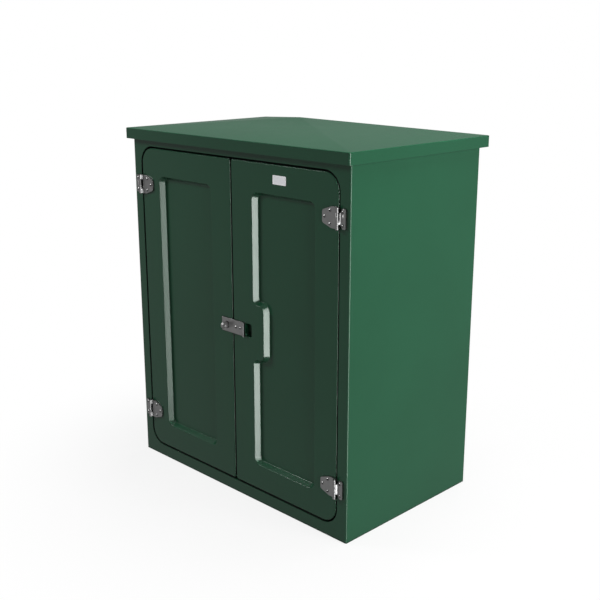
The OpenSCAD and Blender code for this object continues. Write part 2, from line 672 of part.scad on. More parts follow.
// Shoot bolt and its guide, drawn for the top of the left door and mirrored for the bottom
module at_bolt(top) translate([-shoot_x, 0, top ? door_z1 : door_z0]) mirror([0, 0, top ? 0 : 1]) children();
module bolt_guide() color(steel) {
    plate_y = front_y + door_skin;
    plate_h = guide_gap + 2 * saddle_h;
    difference() {
        union() {
            translate([-saddle_w / 2, plate_y, -guide_drop - plate_h])
                cube([saddle_w, guide_plate_t, plate_h]);
            for (z = [-guide_drop - saddle_h, -guide_drop - plate_h])
                translate([-saddle_w / 2, plate_y, z]) {
                    cube([saddle_w, shoot_y - plate_y, saddle_h]);
                    translate([saddle_w / 2, shoot_y - plate_y, 0]) cylinder(h = saddle_h, d = saddle_w);
                }
        }
        translate([0, shoot_y, -guide_drop - plate_h - past])
            cylinder(h = plate_h + 2 * past, r = shoot_r + run);
    }
}
module shoot_bolt() color(steel) {
    knob_z = -guide_drop - saddle_h - guide_gap + knob_r + touch;
    translate([0, shoot_y, -shoot_end - shoot_l]) cylinder(h = shoot_l, r = shoot_r);
    translate([0, shoot_y, knob_z]) rotate([-90, 0, 0]) cylinder(h = saddle_w / 2 + knob_out, r = knob_r);
}
module top_bolt_guide() at_bolt(true) bolt_guide();
module bottom_bolt_guide() at_bolt(false) bolt_guide();
module top_shoot_bolt() at_bolt(true) shoot_bolt();
module bottom_shoot_bolt() at_bolt(false) shoot_bolt();

// Hasp plate on the right door, with a finger lip bent out at its right end and a slot for the eye
module hasp_plate() color(steel) difference() {
    bend_r = hasp_t;
    translate([0, front_y, door_mid_z - hasp_h / 2]) linear_extrude(hasp_h) polygon(rounded([
        [[-hasp_left, 0], 0.6, 2], [[-hasp_left, -hasp_t], 0.6, 2], [[hasp_right - hasp_t, -hasp_t], 1, 3],
        [[hasp_right - hasp_t, -hasp_t - lip_h], 1, 3], [[hasp_right, -hasp_t - lip_h], 1, 3],
        [[hasp_right, 0], bend_r, 5]]));
    eye_slot(front_y - hasp_t - past, front_y + past);
    at_hasp_holes(front_y - hasp_t) bolt_hole(hasp_t);
}
module hasp_bolts() color(steel) at_hasp_holes(front_y - hasp_t) dome_bolt(hasp_t + door_skin);
module hasp_nuts() color(steel) at_hasp_holes(front_y + door_skin) nut();

// Bare label plate with a sunk panel, on the right door above the recess
module label_plate() color(white) {
    z = door_z1 - rail_top / 2;
    border = 3;
    difference() {
        extrude_y(front_y - label_t, front_y)
            round_rect(label_x - label_w / 2, z - label_h / 2, label_x + label_w / 2, z + label_h / 2, 2);
        extrude_y(front_y - label_t - past, front_y - label_t * 0.7)
            round_rect(label_x - label_w / 2 + border, z - label_h / 2 + border,
                       label_x + label_w / 2 - border, z + label_h / 2 - border, 1);
    }
}

body_shell();
roof();
roof_bolts();
door_seal();
top_keep();
bottom_keep();
backboard();
backboard_battens();
backboard_screws();
upper_left_frame_leaf();
lower_left_frame_leaf();
upper_right_frame_leaf();
lower_right_frame_leaf();
upper_left_hinge_pin();
lower_left_hinge_pin();
upper_right_hinge_pin();
lower_right_hinge_pin();
frame_leaf_bolts();
frame_leaf_nuts();
left_door();
upper_left_door_leaf();
lower_left_door_leaf();
left_leaf_bolts();
left_leaf_nuts();
padlock_eye();
padlock_eye_bolts();
padlock_eye_nuts();
meeting_strip();
top_bolt_guide();
bottom_bolt_guide();
top_shoot_bolt();
bottom_shoot_bolt();
right_door();
upper_right_door_leaf();
lower_right_door_leaf();
right_leaf_bolts();
right_leaf_nuts();
hasp_plate();
hasp_bolts();
hasp_nuts();
label_plate();
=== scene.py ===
# %% [markdown]
# # Roadside utility cabinet
# A moulded glass-fibre kiosk stands at the roadside and keeps switchgear dry behind a pair of doors.
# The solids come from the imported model. This lesson gives them softened edges, finishes and light, and it
# models one new piece, the rubber seal round the opening.
# Everything is in metres: +X is to the right of the doors, +Y goes to the back, and +Z is up.

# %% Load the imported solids
import math

import bpy
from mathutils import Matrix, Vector


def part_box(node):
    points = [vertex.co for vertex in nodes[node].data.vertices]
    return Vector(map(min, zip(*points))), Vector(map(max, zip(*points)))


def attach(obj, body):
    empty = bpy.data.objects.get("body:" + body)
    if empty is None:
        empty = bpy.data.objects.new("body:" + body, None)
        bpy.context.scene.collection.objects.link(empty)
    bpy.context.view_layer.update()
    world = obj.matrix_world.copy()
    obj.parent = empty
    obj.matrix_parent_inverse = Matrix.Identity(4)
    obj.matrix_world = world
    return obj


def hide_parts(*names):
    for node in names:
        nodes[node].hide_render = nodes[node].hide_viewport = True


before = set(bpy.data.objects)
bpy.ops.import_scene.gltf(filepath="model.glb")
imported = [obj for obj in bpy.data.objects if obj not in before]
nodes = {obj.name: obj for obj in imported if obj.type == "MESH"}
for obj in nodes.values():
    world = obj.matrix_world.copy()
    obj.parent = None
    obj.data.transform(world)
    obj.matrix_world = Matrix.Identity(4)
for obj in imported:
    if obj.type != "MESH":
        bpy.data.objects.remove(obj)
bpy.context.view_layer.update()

# %% [markdown]
# ## Camera
# The picture is taken from the front right corner, from a little above the roof.
# A camera can be turned by hand until it fits, but here the angles were measured, so they are written as
# numbers. The lens is a little longer than normal, which keeps the upright edges of the cabinet almost
# parallel.

# %% Set up the camera
CAMERA_AZIMUTH = math.radians(45.05)
CAMERA_HEIGHT = math.radians(15.46)
CAMERA_DISTANCE = 2.8138
LOOK_AT = Vector((0.30376, -0.300, 0.72498))
LENS_MM = 57.17
SENSOR_MM = 36.0

towards_camera = Vector((math.sin(CAMERA_AZIMUTH) * math.cos(CAMERA_HEIGHT),
                         -math.cos(CAMERA_AZIMUTH) * math.cos(CAMERA_HEIGHT),
                         math.sin(CAMERA_HEIGHT)))
bpy.ops.object.select_all(action="DESELECT")
bpy.ops.object.camera_add(location=LOOK_AT + towards_camera * CAMERA_DISTANCE)
camera = bpy.context.object
camera.rotation_euler = (-towards_camera).to_track_quat("-Z", "Y").to_euler()
camera.data.lens = LENS_MM
camera.data.sensor_width = SENSOR_MM
bpy.context.scene.camera = camera
print("camera at", [round(v, 3) for v in camera.location])

# %% [markdown]
# ## Helpers for the finishes
# Every finish is a small tree of nodes round one Principled shader. A tree can be drawn by hand in the Shader
# Editor, but a helper for each kind of node turns a finish into a short list of what the surface is made of.
# Object coordinates are used all through, because they stay with a piece when it moves.

# %% Define the node helpers
def connect(tree, socket, value):
    """Link a socket to another one, or give it a plain value."""
    if isinstance(value, bpy.types.NodeSocket):
        tree.links.new(value, socket)
    else:
        socket.default_value = value


def add_node(tree, kind, inputs, **settings):
    """A new node of a kind, with its settings, and with values or links for its inputs."""
    node = tree.nodes.new(kind)
    for key, value in settings.items():
        setattr(node, key, value)
    for key, value in inputs.items():
        connect(tree, node.inputs[key], value)
    return node


def math_node(tree, operation, first, second=0.0):
    """The result of one operation on one or two numbers."""
    return add_node(tree, "ShaderNodeMath", {0: first, 1: second}, operation=operation).outputs["Value"]


def range_node(tree, value, start, end, low, high, course="LINEAR"):
    """A number that goes from low to high while a value goes from start to end."""
    inputs = {"Value": value, "From Min": start, "From Max": end, "To Min": low, "To Max": high}
    return add_node(tree, "ShaderNodeMapRange", inputs, interpolation_type=course).outputs["Result"]


print("node helpers ready")

# %% Define what a finish can do
# Most of a noise lies between these two levels.
NOISE_LOW = 0.25
NOISE_HIGH = 0.75
# The Mix node has its sockets for colours after those for numbers and vectors.
MIX_INPUTS = (0, 6, 7)
MIX_OUTPUT = 2


class Finish:
    """A new material with its node tree, its shader and the Object coordinates that its patterns follow."""

    def __init__(self, name):
        self.material = bpy.data.materials.new(name)
        self.material.use_nodes = True
        self.tree = self.material.node_tree
        self.shader = self.tree.nodes["Principled BSDF"]
        coords = self.tree.nodes.new("ShaderNodeTexCoord").outputs
        self.place = coords["Object"]
        self.facing = coords["Normal"]
        self.relief = None

    def add(self, kind, inputs, **settings):
        return add_node(self.tree, kind, inputs, **settings)

    def math(self, operation, first, second=0.0):
        return math_node(self.tree, operation, first, second)

    def along(self, vector, axis):
        """One coordinate of a vector."""
        return self.add("ShaderNodeSeparateXYZ", {"Vector": vector}).outputs[axis]

    def stretched(self, scale):
        """The place on the piece, with each axis scaled by its own number."""
        return self.add("ShaderNodeMapping", {"Vector": self.place, "Scale": scale}).outputs["Vector"]

    def noise(self, scale, detail=3.0, roughness=0.5, place=None, distortion=0.0):
        inputs = {"Vector": place or self.place, "Scale": scale, "Detail": detail, "Roughness": roughness,
                  "Distortion": distortion}
        return self.add("ShaderNodeTexNoise", inputs).outputs["Fac"]

    def spread(self, noise, low, high):
        """A noise spread evenly from low to high."""
        return range_node(self.tree, noise, NOISE_LOW, NOISE_HIGH, low, high)

    def step(self, value, start, end, low, high):
        """A soft step from low to high while a value goes from start to end."""
        return range_node(self.tree, value, start, end, low, high, "SMOOTHSTEP")

    def ramp(self, value, *stops):
        """A row of colours, each given with its position."""
        node = self.add("ShaderNodeValToRGB", {"Fac": value})
        elements = node.color_ramp.elements
        while len(elements) < len(stops):
            elements.new(0.5)
        for element, (position, colour) in zip(elements, stops):
            element.position = position
            element.color = (*colour, 1.0)
        return node.outputs["Color"]

    def mix(self, share, first, second):
        """The first colour, with a share of the second."""
        node = self.add("ShaderNodeMix", {}, data_type="RGBA")
        for index, value in zip(MIX_INPUTS, (share, first, second)):
            connect(self.tree, node.inputs[index], (*value, 1.0) if isinstance(value, tuple) else value)
        return node.outputs[MIX_OUTPUT]

    def bump(self, height, distance, strength):
        """One more layer of relief over those that are there."""
        inputs = {"Height": height, "Distance": distance, "Strength": strength}
        if self.relief:
            inputs["Normal"] = self.relief
        self.relief = self.add("ShaderNodeBump", inputs).outputs["Normal"]

    def surface(self, **values):
        """Put the relief and the other values on the shader and hand over the material."""
        for name, value in values.items():
            connect(self.tree, self.shader.inputs[name.replace("_", " ")], value)
        if self.relief:
            connect(self.tree, self.shader.inputs["Normal"], self.relief)
        return self.material


print("finish helpers ready")

# %% [markdown]
# ## Green gel coat
# The mouldings are glass fibre with a coloured gel coat that was laid in a polished mould.
# From outside it is a satin green with a faint ripple of the fibres below, and it is lighter where hands and
# wind-blown grit have rubbed the edges. Inside there is no mould, so the fibre mat shows through a flow coat.
# Wear could be painted by hand. Here a Bevel node finds the edges, and an Ambient Occlusion node finds the
# gaps round the doors, paints shade into them and dulls the coat, so both stay right when a size changes.
# One tree holds it all, and a mask picks the inside, because a real moulding is one piece with two faces.

# %% Find the worn edges and the gaps for painted shade
WEAR_REACH = 0.004
WHITE = (1.0, 1.0, 1.0)
BLACK = (0.0, 0.0, 0.0)


def edge_wear(finish):
    """A faint, speckled share of wear at the edges, where the smoothed normal leaves the real one."""
    smoothed = finish.add("ShaderNodeBevel", {"Radius": WEAR_REACH}, samples=4).outputs["Normal"]
    real = finish.add("ShaderNodeNewGeometry", {}).outputs["Normal"]
    agreement = finish.add("ShaderNodeVectorMath", {0: smoothed, 1: real}, operation="DOT_PRODUCT")
    at_edge = finish.ramp(agreement.outputs["Value"], (0.80, WHITE), (0.985, BLACK))
    speckle = finish.noise(scale=70.0, detail=4.0, roughness=0.7)
    return finish.math("MULTIPLY", at_edge, finish.spread(speckle, low=0.10, high=0.30))


def painted_nook_shade(finish, reach, tight, clear, most):
    """Painted shade where faces stand within reach, from most in a tight nook to none in the clear."""
    nook = finish.add("ShaderNodeAmbientOcclusion", {"Distance": reach}, samples=8).outputs["AO"]
    return finish.step(nook, tight, clear, low=most, high=0.0)


print("wear reaches", WEAR_REACH, "m from an edge")

# %% Define the gel coat
GREEN_DEEP = (0.0126, 0.094, 0.0435)
GREEN_FRESH = (0.0146, 0.106, 0.0495)
GREEN_RUBBED = (0.018, 0.118, 0.057)
# The near black that is painted into the gaps as shade.
GAP_PAINTED_SHADE = (0.0015, 0.0040, 0.0026)
GAP_REACH = 0.013
FLOW_COAT = (0.020, 0.085, 0.050)
FLOW_COAT_FIBRE = (0.050, 0.125, 0.082)
FLOW_COAT_DULL = 0.4
DULLEST = 0.65


def gel_coat(name, inside):
    """Gel coat outside, and flow coat over fibre mat where inside(finish) gives 1."""
    finish = Finish(name)
    drift = finish.noise(scale=2.2, detail=4.0, roughness=0.55)
    fresh = finish.ramp(drift, (0.30, GREEN_DEEP), (0.70, GREEN_FRESH))
    fibres = finish.noise(scale=55.0, detail=5.0, roughness=0.75, distortion=2.5,
                          place=finish.stretched((1.0, 1.0, 0.45)))
    fibre_mat = finish.ramp(fibres, (0.38, FLOW_COAT), (0.62, FLOW_COAT_FIBRE))
    rubbed = finish.mix(edge_wear(finish), fresh, GREEN_RUBBED)
    mask = inside(finish)
    # Painted shade: where faces stand close, as in the gaps round the doors, the green turns nearly black.
    painted_shade = painted_nook_shade(finish, GAP_REACH, tight=0.36, clear=0.84, most=0.97)
    outside = finish.mix(painted_shade, rubbed, GAP_PAINTED_SHADE)
    peel = finish.noise(scale=420.0, detail=2.0)
    ripple = finish.noise(scale=16.0, detail=2.0)
    finish.bump(ripple, distance=0.0003, strength=0.08)
    finish.bump(peel, distance=0.00003, strength=0.06)
    finish.bump(finish.math("MULTIPLY", fibres, mask), distance=0.0012, strength=0.60)
    satin = finish.spread(finish.noise(scale=26.0, detail=4.0, roughness=0.6), low=0.23, high=0.27)
    dull = finish.math("MAXIMUM", painted_shade, finish.math("MULTIPLY", mask, FLOW_COAT_DULL))
    return finish.surface(Base_Color=finish.mix(mask, outside, fibre_mat), Specular_IOR_Level=0.5,
                          Roughness=finish.math("ADD", satin, finish.math("MULTIPLY", dull, DULLEST)))


print("gel coat from", GREEN_DEEP, "to", GREEN_FRESH)

# %% Tell the inside from the outside and coat the mouldings
SKIN = 0.003
REBATE = 0.054
TURNED_AWAY = 0.05


def between(finish, axis, low, high):
    """1 where a coordinate lies between two values."""
    part = finish.along(finish.place, axis)
    above = finish.math("GREATER_THAN", part, low)
    return finish.math("MULTIPLY", above, finish.math("LESS_THAN", part, high))


def inside_body(finish):
    """1 behind the skin of the walls and behind the rebate of the front."""
    lower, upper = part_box("body_shell")
    across = between(finish, "X", lower.x + SKIN, upper.x - SKIN)
    deep = between(finish, "Y", lower.y + REBATE, upper.y - SKIN)
    tall = between(finish, "Z", lower.z + SKIN, upper.z - SKIN)
    return finish.math("MULTIPLY", finish.math("MULTIPLY", across, deep), tall)


def facing_back(finish):
    """1 on the faces of a door that look into the cabinet."""
    return finish.math("GREATER_THAN", finish.along(finish.facing, "Y"), TURNED_AWAY)


def facing_down(finish):
    """1 on the faces of the roof that look into the cabinet."""
    return finish.math("LESS_THAN", finish.along(finish.facing, "Z"), -TURNED_AWAY)


body_green = gel_coat("body_gel_coat", inside_body)
roof_green = gel_coat("roof_gel_coat", facing_down)
door_green = gel_coat("door_gel_coat", facing_back)
print("gel coats:", body_green.name, roof_green.name, door_green.name)

# %% [markdown]
# ## Steel
# The hinges and the hasp are stainless steel, brushed along one direction on a belt.
# The scratches could be modelled or drawn on a picture, but noise that is stretched along one axis gives
# them at any size, and a slow noise gives the cloudy grey of handled metal.
# The bolts are turned rather than brushed, so their grain has no direction, and they are painted darker than
# the leaves as shade on the small heads. Ambient Occlusion finds the corners and paints shade into them.

# %% Make the steels
# The near black that is painted into the corners of the steel as shade.
STEEL_PAINTED_SHADE = (0.020, 0.020, 0.018)
CORNER_REACH = 0.005
SCRATCH_SHARE = 0.6
CLOUD_SHARE = 0.4


def brushed(name, stretch, pale, dark, smoothest, roughest):
    """Steel whose scratches run where the stretch is smallest, with painted shade in its corners."""
    finish = Finish(name)
    scratches = finish.noise(scale=60.0, detail=6.0, roughness=0.65, place=finish.stretched(stretch))
    cloud = finish.noise(scale=45.0, detail=3.0, roughness=0.6)
    tone = finish.math("ADD", finish.math("MULTIPLY", scratches, SCRATCH_SHARE),
                       finish.math("MULTIPLY", cloud, CLOUD_SHARE))
    finish.bump(scratches, distance=0.00012, strength=0.35)
    finish.bump(finish.noise(scale=900.0, detail=2.0), distance=0.00004, strength=0.2)
    # Painted shade: Ambient Occlusion darkens the corners and the ring round each bolt head.
    painted_shade = painted_nook_shade(finish, CORNER_REACH, tight=0.40, clear=0.92, most=0.95)
    clean = finish.ramp(tone, (0.32, dark), (0.66, pale))
    return finish.surface(Base_Color=finish.mix(painted_shade, clean, STEEL_PAINTED_SHADE), Metallic=1.0,
                          Roughness=finish.spread(tone, smoothest, roughest))


stainless = brushed("brushed_stainless", stretch=(1.0, 1.0, 24.0), pale=(0.40, 0.40, 0.395),
                    dark=(0.31, 0.31, 0.315), smoothest=0.27, roughest=0.35)
# The bolts' steel is darker than the leaves as painted shade, so each small head shows as a dark dot.
turned_steel = brushed("turned_steel", stretch=(6.0, 6.0, 6.0), pale=(0.20, 0.20, 0.195),
                       dark=(0.11, 0.11, 0.115), smoothest=0.24, roughest=0.32)
drawn_steel = brushed("drawn_steel_bar", stretch=(20.0, 20.0, 1.0), pale=(0.50, 0.50, 0.49),
                      dark=(0.32, 0.32, 0.32), smoothest=0.22, roughest=0.36)
print("steels:", stainless.name, turned_steel.name, drawn_steel.name)

# %% [markdown]
# ## Rubber
# The seal and the meeting strip are black rubber, which is matt, faintly grey and never quite even.
# One dark colour would look like a hole, so a noise moves both the grey and the roughness a little.

# %% Make the rubber
RUBBER_BLACK = (0.010, 0.010, 0.010)
RUBBER_GREY = (0.024, 0.024, 0.025)

rubber = Finish("black_rubber")
rubber.bump(rubber.noise(scale=300.0), distance=0.0001, strength=0.4)
seal_black = rubber.surface(
    Base_Color=rubber.ramp(rubber.noise(scale=35.0, detail=4.0), (0.3, RUBBER_BLACK), (0.7, RUBBER_GREY)),
    Roughness=rubber.spread(rubber.noise(scale=60.0), low=0.55, high=0.75))
print("rubber:", seal_black.name)

# %% [markdown]
# ## Timber
# The backboard is birch plywood: broad grain on its face and thin layers on its edge.
# The battens are sawn softwood with straight grain. Both are seen only when the doors are open.
# A picture of wood would be quick, but stretched noise needs no file, and its grain runs through the solid.

# %% Make the timbers
PLY = 0.0017
LATE_WOOD = 0.86
DARK_LAYER = 0.55
EDGE_FACING = 0.5


def shaded(colour, share):
    """A colour made darker."""
    return tuple(share * part for part in colour)


def ply_layers(finish):
    """1 on every other layer of the plywood's edge."""
    layer = finish.math("PINGPONG", finish.along(finish.place, "Y"), PLY)
    turned = finish.math("ABSOLUTE", finish.along(finish.facing, "Y"))
    on_edge = finish.math("LESS_THAN", turned, EDGE_FACING)
    return finish.math("MULTIPLY", finish.math("GREATER_THAN", layer, PLY / 2), on_edge)


def timber(name, stretch, pale, dark, layered):
    """Wood with its grain where the stretch is smallest, and with layers on its edge if layered."""
    finish = Finish(name)
    grain = finish.noise(scale=9.0, detail=8.0, roughness=0.62, distortion=1.2,
                         place=finish.stretched(stretch))
    pores = finish.noise(scale=120.0, detail=3.0, roughness=0.6, place=finish.stretched(stretch))
    colour = finish.ramp(grain, (0.30, dark), (0.52, pale), (0.72, shaded(pale, LATE_WOOD)))
    colour = finish.mix(finish.spread(pores, low=0.0, high=0.30), colour, dark)
    if layered:
        colour = finish.mix(ply_layers(finish), colour, shaded(dark, DARK_LAYER))
    finish.bump(grain, distance=0.0004, strength=0.25)
    finish.bump(pores, distance=0.0002, strength=0.30)
    return finish.surface(Base_Color=colour, Roughness=finish.spread(pores, low=0.50, high=0.66))


plywood = timber("birch_plywood", stretch=(3.0, 3.0, 0.35), pale=(0.56, 0.39, 0.22), dark=(0.36, 0.22, 0.11),
                 layered=True)
softwood = timber("sawn_softwood", stretch=(0.3, 5.0, 5.0), pale=(0.58, 0.40, 0.21), dark=(0.33, 0.18, 0.08),
                  layered=False)
print("timbers:", plywood.name, softwood.name)

# %% [markdown]
# ## Label
# The label is a bare white plate with a pale grey panel inside a narrow border.
# The panel could be a second piece, but a mask on the plate is enough, and it follows the plate's own size.
# The plate is given a faint glow of its own, a painted light that makes it brighter than its white alone
# would be under the lamps.

# %% Make the label's finish
LABEL_BORDER = 0.0035
BORDER_DIM = (0.86, 0.86, 0.87)
BORDER_CLEAN = (0.92, 0.92, 0.93)
PANEL_DIM = (0.78, 0.79, 0.81)
PANEL_CLEAN = (0.84, 0.85, 0.87)
# The colour of the label's painted glow.
LABEL_PAINTED_GLOW = (0.95, 0.96, 1.0, 1.0)

label = Finish("bare_label")
label_low, label_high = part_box("label_plate")
panel_across = between(label, "X", label_low.x + LABEL_BORDER, label_high.x - LABEL_BORDER)
panel_tall = between(label, "Z", label_low.z + LABEL_BORDER, label_high.z - LABEL_BORDER)
label_tone = label.noise(scale=90.0, detail=4.0)
border_white = label.ramp(label_tone, (0.3, BORDER_DIM), (0.7, BORDER_CLEAN))
panel_grey = label.ramp(label_tone, (0.3, PANEL_DIM), (0.7, PANEL_CLEAN))
label.bump(label.noise(scale=600.0, detail=2.0), distance=0.00005, strength=0.2)
label_white = label.surface(
    Base_Color=label.mix(label.math("MULTIPLY", panel_across, panel_tall), border_white, panel_grey),
    Roughness=label.spread(label_tone, low=0.38, high=0.50),
    # Painted light: the faint glow brightens the label, though it is no lamp.
    Emission_Color=LABEL_PAINTED_GLOW, Emission_Strength=0.30)
print("label:", label_white.name)

# %% [markdown]
# ## Door seal
# The real seal is a rubber strip with a flat foot, which is stuck on the stop round the opening, and a soft
# round bulb that the doors press. The solid holds only the room that it takes up.
# The bulb could be a circle that is extruded along the outline, but a curve with a round bevel turns the
# corners by itself. The outline is a plane with bevelled corners, which takes its size and its corner from
# the solid.

# %% Measure the seal
SEAL_BAND = 0.012
SEAL_FOOT = 0.0016
SAME_PLACE = 0.00001

seal_low, seal_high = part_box("door_seal")
seal_points = [point.co for point in nodes["door_seal"].data.vertices]
seal_corner = seal_high.z - max(point.z for point in seal_points if point.x > seal_high.x - SAME_PLACE)
bulb_radius = (seal_high.y - seal_low.y) / 2
print("seal: corner", round(seal_corner, 4), "bulb radius", round(bulb_radius, 4))

# %% Draw the seal's outline
CORNER_STEPS = 10


def seal_outline(name, inset, depth):
    """An upright plane with round corners, inset from the seal's outline, left selected in edit mode."""
    bpy.ops.object.select_all(action="DESELECT")
    middle = (seal_low + seal_high) / 2
    bpy.ops.mesh.primitive_plane_add(size=1.0, location=(middle.x, depth, middle.z),
                                     rotation=(math.pi / 2, 0.0, 0.0))
    outline = bpy.context.object
    outline.name = name
    outline.scale = (seal_high.x - seal_low.x - 2 * inset, seal_high.z - seal_low.z - 2 * inset, 1.0)
    bpy.ops.object.transform_apply(location=True, rotation=True, scale=True)
    bpy.ops.object.mode_set(mode="EDIT")
    bpy.ops.mesh.select_all(action="SELECT")
    bpy.ops.mesh.bevel(offset=seal_corner - inset, segments=CORNER_STEPS, affect="VERTICES")
    bpy.ops.mesh.select_all(action="SELECT")
    return outline


print("outline with", CORNER_STEPS, "steps to a corner")

# %% Make the foot
foot = seal_outline("seal_foot", 0.0, seal_high.y)
bpy.ops.mesh.inset(thickness=SEAL_BAND)
bpy.ops.mesh.delete(type="FACE")
bpy.ops.object.mode_set(mode="OBJECT")
thick = foot.modifiers.new("thick", "SOLIDIFY")
thick.thickness = SEAL_FOOT
thick.offset = 1.0
bpy.ops.object.modifier_apply(modifier=thick.name)
print("foot:", len(foot.data.polygons), "faces")

# %% Make the bulb and join the foot to it
BULB_STEPS = 4
SMOOTH_ANGLE = math.radians(40.0)

seal_outline("bulb_seal", SEAL_BAND / 2, seal_low.y + bulb_radius)
bpy.ops.mesh.delete(type="ONLY_FACE")
bpy.ops.object.mode_set(mode="OBJECT")
bpy.ops.object.convert(target="CURVE")
bulb_path = bpy.context.object.data
bulb_path.bevel_depth = bulb_radius
bulb_path.bevel_resolution = BULB_STEPS
bpy.ops.object.convert(target="MESH")
bulb_seal = bpy.context.object
foot.select_set(True)
bpy.ops.object.join()
bpy.ops.object.shade_smooth_by_angle(angle=SMOOTH_ANGLE)
bulb_seal.data.materials.clear()
bulb_seal.data.materials.append(seal_black)
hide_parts("door_seal")
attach(bulb_seal, "cabinet")
seal_depths = [point.co.y for point in bulb_seal.data.vertices]
print("bulb seal:", len(bulb_seal.data.polygons), "faces, from y", round(min(seal_depths), 4),
      "to", round(max(seal_depths), 4))

# %% [markdown]
# ## Softened edges
# No real edge is knife sharp, and a tiny rounded edge catches the light that makes a model look solid.
# The solids arrive as loose triangles, so they are welded, their flat faces are merged, and then they are
# bevelled. The edges could be bevelled by hand in edit mode, but modifiers do it without touching the meshes,
# and weighted normals keep the big flat faces flat.

# %% Define the softening
WELD_REACH = 0.00001
FLAT_ANGLE = math.radians(0.6)
EDGE_ANGLE = math.radians(32.0)
EDGE_SEGMENTS = 2
FLAT_WEIGHT = 80


def soften(solid, width):
    """Weld, merge flat faces, bevel the sharp edges and weight the normals of a solid."""
    bpy.ops.object.select_all(action="DESELECT")
    solid.select_set(True)
    bpy.context.view_layer.objects.active = solid
    bpy.ops.object.shade_smooth()
    weld = solid.modifiers.new("weld", "WELD")
    weld.merge_threshold = WELD_REACH
    merge = solid.modifiers.new("merge_flat", "DECIMATE")
    merge.decimate_type = "DISSOLVE"
    merge.angle_limit = FLAT_ANGLE
    bevel = solid.modifiers.new("edge", "BEVEL")
    bevel.width = width
    bevel.segments = EDGE_SEGMENTS
    bevel.limit_method = "ANGLE"
    bevel.angle_limit = EDGE_ANGLE
    normals = solid.modifiers.new("normals", "WEIGHTED_NORMAL")
    normals.weight = FLAT_WEIGHT


print("edges sharper than", round(math.degrees(EDGE_ANGLE)), "degrees are softened")

# %% Soften the solids and give them their finishes
# Each solid has its finish and the width of its softened edge. The others are steel, turned or brushed.
FINISHES = {
    "body_shell": (body_green, 0.0012),
    "roof": (roof_green, 0.0012),
    "left_door": (door_green, 0.0008),
    "right_door": (door_green, 0.0008),
    "door_seal": (seal_black, 0.0015),
    "meeting_strip": (seal_black, 0.0006),
    "backboard": (plywood, 0.0008),
    "backboard_battens": (softwood, 0.0015),
    "label_plate": (label_white, 0.0002),
    "top_shoot_bolt": (drawn_steel, 0.0010),
    "bottom_shoot_bolt": (drawn_steel, 0.0010),
}
TURNED_ENDINGS = ("bolts", "nuts", "screws", "keep", "pin")
TURNED_FINISH = (turned_steel, 0.0002)
BRUSHED_FINISH = (stainless, 0.0005)

for name, solid in nodes.items():
    other_steel = TURNED_FINISH if name.endswith(TURNED_ENDINGS) else BRUSHED_FINISH
    finish, width = FINISHES.get(name, other_steel)
    soften(solid, width)
    solid.data.materials.clear()
    solid.data.materials.append(finish)
print("finished solids:", len(nodes))

# %% [markdown]
# ## Floor
# The cabinet stands on a sheet of white paper, as in a catalogue. A strong lamp could burn the paper out to
# white, but it would light the cabinet too. Here the paper glows for the camera alone, so that it looks white
# while it throws little light up at the doors, and it still takes the shadow of the cabinet.
# Under the cabinet the glow stops, because the ground that is seen through an open door lies in shade.
# The floor is left out of reflections, where the even grey of the world takes its place.

# %% Lay the floor
FLOOR_SIZE = 60.0
FLOOR_LEVEL = -0.0005

bpy.ops.object.select_all(action="DESELECT")
bpy.ops.mesh.primitive_plane_add(size=FLOOR_SIZE, location=(0.0, 0.0, FLOOR_LEVEL))
floor = bpy.context.object
floor.name = "studio_floor"
floor.visible_glossy = False
print("floor:", floor.name, FLOOR_SIZE, "m wide")

# %% Make the studio paper
PALE_PAPER = ((0.3, (0.84, 0.84, 0.84)), (0.7, (0.88, 0.88, 0.88)))
DIM_PAPER = ((0.3, (0.19, 0.19, 0.19)), (0.7, (0.21, 0.21, 0.21)))
SHADE_REACH = 0.55
GLOW_REACH = 1.25
SHADE_GLOW = 0.86

paper = Finish("studio_paper")
to_camera = paper.add("ShaderNodeLightPath", {}).outputs["Is Camera Ray"]
fibre = paper.noise(scale=3.0)
paper.surface(Base_Color=paper.mix(to_camera, paper.ramp(fibre, *DIM_PAPER), paper.ramp(fibre, *PALE_PAPER)),
              Roughness=0.9, Specular_IOR_Level=0.0)
away = paper.add("ShaderNodeVectorMath", {0: paper.place}, operation="LENGTH").outputs["Value"]
body_low, body_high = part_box("body_shell")
under = paper.math("MULTIPLY", between(paper, "X", body_low.x, body_high.x),
                   between(paper, "Y", body_low.y, body_high.y))
# Painted shade: within SHADE_REACH the glow drops to SHADE_GLOW, so the paper is a little darker all round
# the cabinet, and the shadow that the lamps cast shows there.
glow = paper.math("MULTIPLY", to_camera, paper.step(away, SHADE_REACH, GLOW_REACH, SHADE_GLOW, 1.0))
share = paper.math("MULTIPLY", glow, paper.math("SUBTRACT", 1.0, under))
white = paper.add("ShaderNodeEmission", {"Color": (*WHITE, 1.0), "Strength": 1.0}).outputs["Emission"]
blend = paper.add("ShaderNodeMixShader", {0: share, 1: paper.shader.outputs["BSDF"], 2: white})
connect(paper.tree, paper.tree.nodes["Material Output"].inputs["Surface"], blend.outputs["Shader"])
floor.data.materials.append(paper.material)
print("paper:", paper.material.name, "fully white from", GLOW_REACH, "m outwards")

# %% [markdown]
# ## Lamps
# Soft boxes light the side, the roof and the back, a narrow fill lights the slopes that face right, and a
# small key lamp from the upper left draws the shadow below the eaves. They could all be seen in the glossy
# coat, but big white patches would hide its colour, so they are left out of reflections.
# Three upright strips at the right and two glints at the upper left work the other way: they give no light,
# and are only seen as the pale line that runs down each sloping face and along each rim, and as the bright
# crescent on each bolt. Steel mirrors far more than gel coat, so each kind of piece has a strip of its own
# strength, and light linking keeps them apart. The roof has no glint, because it would turn white when it is
# seen from behind. Lamps in one plane hide each other in reflections, so each strip has its own distance.

